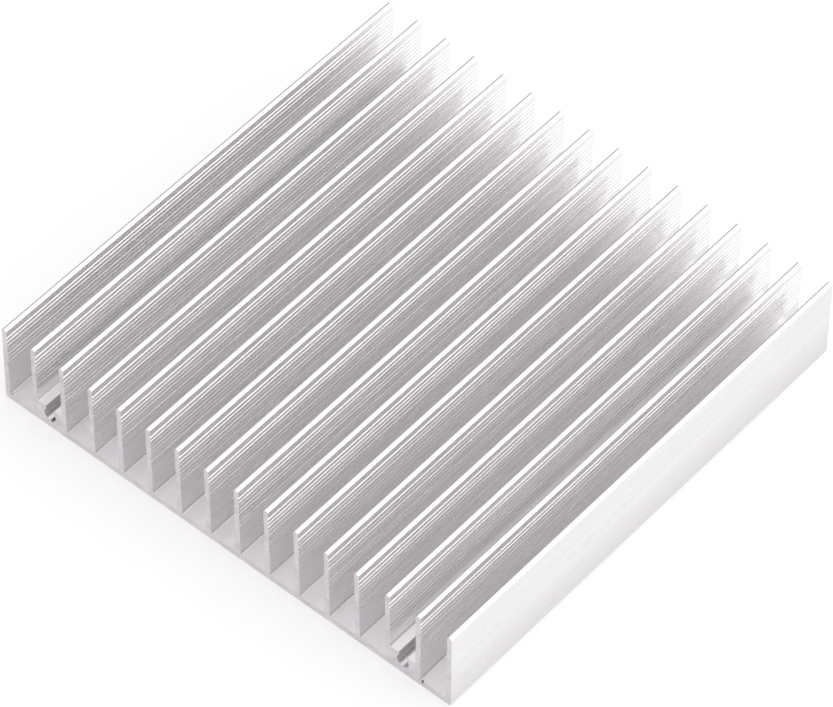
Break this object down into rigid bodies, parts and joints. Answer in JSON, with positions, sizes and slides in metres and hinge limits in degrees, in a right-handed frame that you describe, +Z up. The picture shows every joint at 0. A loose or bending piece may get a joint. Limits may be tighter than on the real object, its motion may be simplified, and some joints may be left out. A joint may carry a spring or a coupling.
{
  "type": "extruded heat sink",
  "caption": "Square extruded aluminium heat sink: thin base, straight ribbed fins along its length, and two round-bottomed screw channels open at their tops.",
  "frame": {"origin": "centre of the flat underside", "axes": "+Z up through the fins, +Y along the fins (the way the section was extruded), +X across the fins"},
  "size_m": [0.1, 0.1, 0.018],
  "materials": {
    "aluminium": "bare mill-finish extrusion, satin along the fins, saw-cut ends"
  },
  "bodies": {
    "root": {"heat_sink": "aluminium"}
  },
  "joints": []
}
